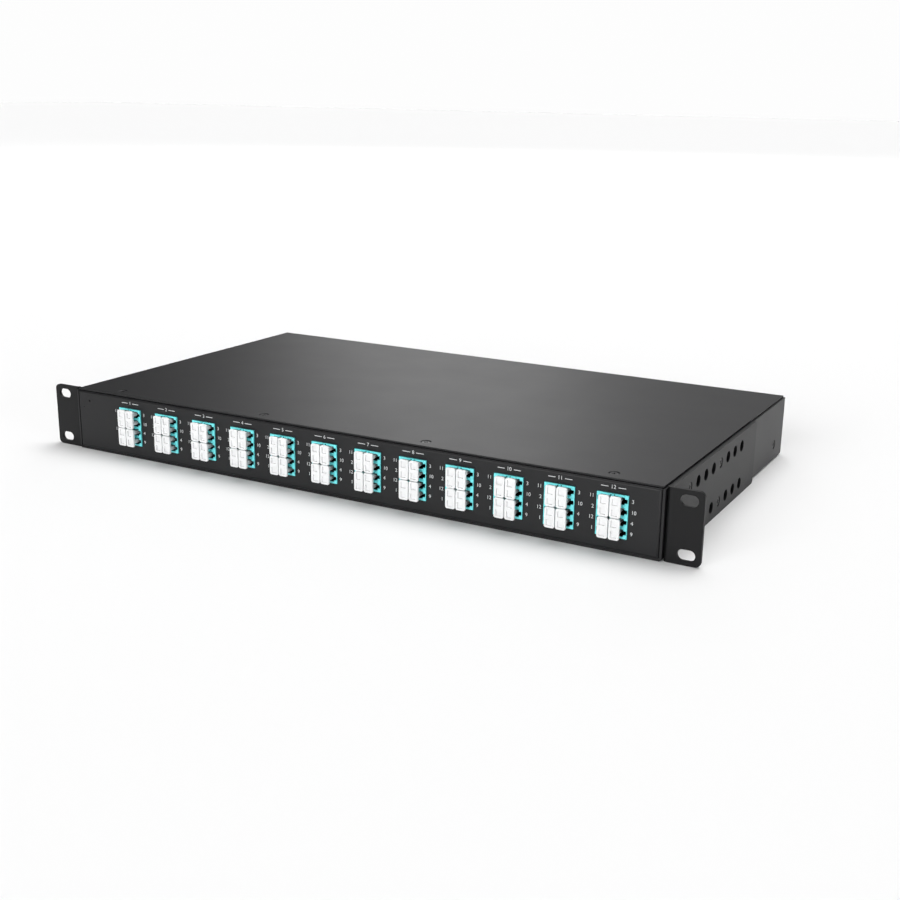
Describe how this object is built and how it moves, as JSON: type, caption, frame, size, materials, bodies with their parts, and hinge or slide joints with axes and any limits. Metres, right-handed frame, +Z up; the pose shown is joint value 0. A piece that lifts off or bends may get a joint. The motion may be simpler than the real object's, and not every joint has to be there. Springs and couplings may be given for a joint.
{
  "type": "rack-mount fibre breakout cassette",
  "caption": "Low black rack enclosure whose front carries a row of LC port blocks under white dust caps, with an MTP socket behind each block and a slotted ear on either side",
  "frame": {"origin": "centre of the bottom of the box round the whole object", "axes": "+X to the right seen from the front, +Y from the port side to the rear, +Z up"},
  "size_m": [0.4826, 0.2616, 0.0439],
  "materials": {
    "black_sheet": "fine powder coat",
    "aqua_plastic": "moulded, half gloss",
    "aqua_plug": "moulded",
    "black_plastic": "moulded",
    "fibre_jacket": "smooth jacket",
    "white_cap": "soft moulded"
  },
  "bodies": {
    "cassette": {"chassis_tray": "black_sheet", "front_panel": "black_sheet", "rear_panel": "black_sheet", "top_cover": "black_sheet", "ear_left": "black_sheet", "ear_right": "black_sheet", "lc_adapters": "aqua_plastic", "lc_plugs": "aqua_plug", "mtp_adapters": "black_plastic", "mtp_plugs": "aqua_plug", "fibre_harnesses": "fibre_jacket"},
    "dust_cap_01_upper_left": {"dust_cap_01_upper_left": "white_cap"},
    "dust_cap_01_lower_left": {"dust_cap_01_lower_left": "white_cap"},
    "dust_cap_01_upper_right": {"dust_cap_01_upper_right": "white_cap"},
    "dust_cap_01_lower_right": {"dust_cap_01_lower_right": "white_cap"},
    "dust_cap_02_upper_left": {"dust_cap_02_upper_left": "white_cap"},
    "dust_cap_02_lower_left": {"dust_cap_02_lower_left": "white_cap"},
    "dust_cap_02_upper_right": {"dust_cap_02_upper_right": "white_cap"},
    "dust_cap_02_lower_right": {"dust_cap_02_lower_right": "white_cap"},
    "dust_cap_03_upper_left": {"dust_cap_03_upper_left": "white_cap"},
    "dust_cap_03_lower_left": {"dust_cap_03_lower_left": "white_cap"},
    "dust_cap_03_upper_right": {"dust_cap_03_upper_right": "white_cap"},
    "dust_cap_03_lower_right": {"dust_cap_03_lower_right": "white_cap"},
    "dust_cap_04_upper_left": {"dust_cap_04_upper_left": "white_cap"},
    "dust_cap_04_lower_left": {"dust_cap_04_lower_left": "white_cap"},
    "dust_cap_04_upper_right": {"dust_cap_04_upper_right": "white_cap"},
    "dust_cap_04_lower_right": {"dust_cap_04_lower_right": "white_cap"},
    "dust_cap_05_upper_left": {"dust_cap_05_upper_left": "white_cap"},
    "dust_cap_05_lower_left": {"dust_cap_05_lower_left": "white_cap"},
    "dust_cap_05_upper_right": {"dust_cap_05_upper_right": "white_cap"},
    "dust_cap_05_lower_right": {"dust_cap_05_lower_right": "white_cap"},
    "dust_cap_06_upper_left": {"dust_cap_06_upper_left": "white_cap"},
    "dust_cap_06_lower_left": {"dust_cap_06_lower_left": "white_cap"},
    "dust_cap_06_upper_right": {"dust_cap_06_upper_right": "white_cap"},
    "dust_cap_06_lower_right": {"dust_cap_06_lower_right": "white_cap"},
    "dust_cap_07_upper_left": {"dust_cap_07_upper_left": "white_cap"},
    "dust_cap_07_lower_left": {"dust_cap_07_lower_left": "white_cap"},
    "dust_cap_07_upper_right": {"dust_cap_07_upper_right": "white_cap"},
    "dust_cap_07_lower_right": {"dust_cap_07_lower_right": "white_cap"},
    "dust_cap_08_upper_left": {"dust_cap_08_upper_left": "white_cap"},
    "dust_cap_08_lower_left": {"dust_cap_08_lower_left": "white_cap"},
    "dust_cap_08_upper_right": {"dust_cap_08_upper_right": "white_cap"},
    "dust_cap_08_lower_right": {"dust_cap_08_lower_right": "white_cap"},
    "dust_cap_09_upper_left": {"dust_cap_09_upper_left": "white_cap"},
    "dust_cap_09_lower_left": {"dust_cap_09_lower_left": "white_cap"},
    "dust_cap_09_upper_right": {"dust_cap_09_upper_right": "white_cap"},
    "dust_cap_09_lower_right": {"dust_cap_09_lower_right": "white_cap"},
    "dust_cap_10_upper_left": {"dust_cap_10_upper_left": "white_cap"},
    "dust_cap_10_lower_left": {"dust_cap_10_lower_left": "white_cap"},
    "dust_cap_10_upper_right": {"dust_cap_10_upper_right": "white_cap"},
    "dust_cap_10_lower_right": {"dust_cap_10_lower_right": "white_cap"},
    "dust_cap_11_upper_left": {"dust_cap_11_upper_left": "white_cap"},
    "dust_cap_11_lower_left": {"dust_cap_11_lower_left": "white_cap"},
    "dust_cap_11_upper_right": {"dust_cap_11_upper_right": "white_cap"},
    "dust_cap_11_lower_right": {"dust_cap_11_lower_right": "white_cap"},
    "dust_cap_12_upper_left": {"dust_cap_12_upper_left": "white_cap"},
    "dust_cap_12_lower_left": {"dust_cap_12_lower_left": "white_cap"},
    "dust_cap_12_upper_right": {"dust_cap_12_upper_right": "white_cap"},
    "dust_cap_12_lower_right": {"dust_cap_12_lower_right": "white_cap"}
  },
  "joints": [
    {"name": "pull_cap_01_upper_left", "type": "slide", "parent": "cassette", "child": "dust_cap_01_upper_left", "axis": [0, -1, 0], "range_m": [0, 0.015]},
    {"name": "pull_cap_01_lower_left", "type": "slide", "parent": "cassette", "child": "dust_cap_01_lower_left", "axis": [0, -1, 0], "range_m": [0, 0.015]},
    {"name": "pull_cap_01_upper_right", "type": "slide", "parent": "cassette", "child": "dust_cap_01_upper_right", "axis": [0, -1, 0], "range_m": [0, 0.015]},
    {"name": "pull_cap_01_lower_right", "type": "slide", "parent": "cassette", "child": "dust_cap_01_lower_right", "axis": [0, -1, 0], "range_m": [0, 0.015]},
    {"name": "pull_cap_02_upper_left", "type": "slide", "parent": "cassette", "child": "dust_cap_02_upper_left", "axis": [0, -1, 0], "range_m": [0, 0.015]},
    {"name": "pull_cap_02_lower_left", "type": "slide", "parent": "cassette", "child": "dust_cap_02_lower_left", "axis": [0, -1, 0], "range_m": [0, 0.015]},
    {"name": "pull_cap_02_upper_right", "type": "slide", "parent": "cassette", "child": "dust_cap_02_upper_right", "axis": [0, -1, 0], "range_m": [0, 0.015]},
    {"name": "pull_cap_02_lower_right", "type": "slide", "parent": "cassette", "child": "dust_cap_02_lower_right", "axis": [0, -1, 0], "range_m": [0, 0.015]},
    {"name": "pull_cap_03_upper_left", "type": "slide", "parent": "cassette", "child": "dust_cap_03_upper_left", "axis": [0, -1, 0], "range_m": [0, 0.015]},
    {"name": "pull_cap_03_lower_left", "type": "slide", "parent": "cassette", "child": "dust_cap_03_lower_left", "axis": [0, -1, 0], "range_m": [0, 0.015]},
    {"name": "pull_cap_03_upper_right", "type": "slide", "parent": "cassette", "child": "dust_cap_03_upper_right", "axis": [0, -1, 0], "range_m": [0, 0.015]},
    {"name": "pull_cap_03_lower_right", "type": "slide", "parent": "cassette", "child": "dust_cap_03_lower_right", "axis": [0, -1, 0], "range_m": [0, 0.015]},
    {"name": "pull_cap_04_upper_left", "type": "slide", "parent": "cassette", "child": "dust_cap_04_upper_left", "axis": [0, -1, 0], "range_m": [0, 0.015]},
    {"name": "pull_cap_04_lower_left", "type": "slide", "parent": "cassette", "child": "dust_cap_04_lower_left", "axis": [0, -1, 0], "range_m": [0, 0.015]},
    {"name": "pull_cap_04_upper_right", "type": "slide", "parent": "cassette", "child": "dust_cap_04_upper_right", "axis": [0, -1, 0], "range_m": [0, 0.015]},
    {"name": "pull_cap_04_lower_right", "type": "slide", "parent": "cassette", "child": "dust_cap_04_lower_right", "axis": [0, -1, 0], "range_m": [0, 0.015]},
    {"name": "pull_cap_05_upper_left", "type": "slide", "parent": "cassette", "child": "dust_cap_05_upper_left", "axis": [0, -1, 0], "range_m": [0, 0.015]},
    {"name": "pull_cap_05_lower_left", "type": "slide", "parent": "cassette", "child": "dust_cap_05_lower_left", "axis": [0, -1, 0], "range_m": [0, 0.015]},
    {"name": "pull_cap_05_upper_right", "type": "slide", "parent": "cassette", "child": "dust_cap_05_upper_right", "axis": [0, -1, 0], "range_m": [0, 0.015]},
    {"name": "pull_cap_05_lower_right", "type": "slide", "parent": "cassette", "child": "dust_cap_05_lower_right", "axis": [0, -1, 0], "range_m": [0, 0.015]},
    {"name": "pull_cap_06_upper_left", "type": "slide", "parent": "cassette", "child": "dust_cap_06_upper_left", "axis": [0, -1, 0], "range_m": [0, 0.015]},
    {"name": "pull_cap_06_lower_left", "type": "slide", "parent": "cassette", "child": "dust_cap_06_lower_left", "axis": [0, -1, 0], "range_m": [0, 0.015]},
    {"name": "pull_cap_06_upper_right", "type": "slide", "parent": "cassette", "child": "dust_cap_06_upper_right", "axis": [0, -1, 0], "range_m": [0, 0.015]},
    {"name": "pull_cap_06_lower_right", "type": "slide", "parent": "cassette", "child": "dust_cap_06_lower_right", "axis": [0, -1, 0], "range_m": [0, 0.015]},
    {"name": "pull_cap_07_upper_left", "type": "slide", "parent": "cassette", "child": "dust_cap_07_upper_left", "axis": [0, -1, 0], "range_m": [0, 0.015]},
    {"name": "pull_cap_07_lower_left", "type": "slide", "parent": "cassette", "child": "dust_cap_07_lower_left", "axis": [0, -1, 0], "range_m": [0, 0.015]},
    {"name": "pull_cap_07_upper_right", "type": "slide", "parent": "cassette", "child": "dust_cap_07_upper_right", "axis": [0, -1, 0], "range_m": [0, 0.015]},
    {"name": "pull_cap_07_lower_right", "type": "slide", "parent": "cassette", "child": "dust_cap_07_lower_right", "axis": [0, -1, 0], "range_m": [0, 0.015]},
    {"name": "pull_cap_08_upper_left", "type": "slide", "parent": "cassette", "child": "dust_cap_08_upper_left", "axis": [0, -1, 0], "range_m": [0, 0.015]},
    {"name": "pull_cap_08_lower_left", "type": "slide", "parent": "cassette", "child": "dust_cap_08_lower_left", "axis": [0, -1, 0], "range_m": [0, 0.015]},
    {"name": "pull_cap_08_upper_right", "type": "slide", "parent": "cassette", "child": "dust_cap_08_upper_right", "axis": [0, -1, 0], "range_m": [0, 0.015]},
    {"name": "pull_cap_08_lower_right", "type": "slide", "parent": "cassette", "child": "dust_cap_08_lower_right", "axis": [0, -1, 0], "range_m": [0, 0.015]},
    {"name": "pull_cap_09_upper_left", "type": "slide", "parent": "cassette", "child": "dust_cap_09_upper_left", "axis": [0, -1, 0], "range_m": [0, 0.015]},
    {"name": "pull_cap_09_lower_left", "type": "slide", "parent": "cassette", "child": "dust_cap_09_lower_left", "axis": [0, -1, 0], "range_m": [0, 0.015]},
    {"name": "pull_cap_09_upper_right", "type": "slide", "parent": "cassette", "child": "dust_cap_09_upper_right", "axis": [0, -1, 0], "range_m": [0, 0.015]},
    {"name": "pull_cap_09_lower_right", "type": "slide", "parent": "cassette", "child": "dust_cap_09_lower_right", "axis": [0, -1, 0], "range_m": [0, 0.015]},
    {"name": "pull_cap_10_upper_left", "type": "slide", "parent": "cassette", "child": "dust_cap_10_upper_left", "axis": [0, -1, 0], "range_m": [0, 0.015]},
    {"name": "pull_cap_10_lower_left", "type": "slide", "parent": "cassette", "child": "dust_cap_10_lower_left", "axis": [0, -1, 0], "range_m": [0, 0.015]},
    {"name": "pull_cap_10_upper_right", "type": "slide", "parent": "cassette", "child": "dust_cap_10_upper_right", "axis": [0, -1, 0], "range_m": [0, 0.015]},
    {"name": "pull_cap_10_lower_right", "type": "slide", "parent": "cassette", "child": "dust_cap_10_lower_right", "axis": [0, -1, 0], "range_m": [0, 0.015]},
    {"name": "pull_cap_11_upper_left", "type": "slide", "parent": "cassette", "child": "dust_cap_11_upper_left", "axis": [0, -1, 0], "range_m": [0, 0.015]},
    {"name": "pull_cap_11_lower_left", "type": "slide", "parent": "cassette", "child": "dust_cap_11_lower_left", "axis": [0, -1, 0], "range_m": [0, 0.015]},
    {"name": "pull_cap_11_upper_right", "type": "slide", "parent": "cassette", "child": "dust_cap_11_upper_right", "axis": [0, -1, 0], "range_m": [0, 0.015]},
    {"name": "pull_cap_11_lower_right", "type": "slide", "parent": "cassette", "child": "dust_cap_11_lower_right", "axis": [0, -1, 0], "range_m": [0, 0.015]},
    {"name": "pull_cap_12_upper_left", "type": "slide", "parent": "cassette", "child": "dust_cap_12_upper_left", "axis": [0, -1, 0], "range_m": [0, 0.015]},
    {"name": "pull_cap_12_lower_left", "type": "slide", "parent": "cassette", "child": "dust_cap_12_lower_left", "axis": [0, -1, 0], "range_m": [0, 0.015]},
    {"name": "pull_cap_12_upper_right", "type": "slide", "parent": "cassette", "child": "dust_cap_12_upper_right", "axis": [0, -1, 0], "range_m": [0, 0.015]},
    {"name": "pull_cap_12_lower_right", "type": "slide", "parent": "cassette", "child": "dust_cap_12_lower_right", "axis": [0, -1, 0], "range_m": [0, 0.015]}
  ]
}
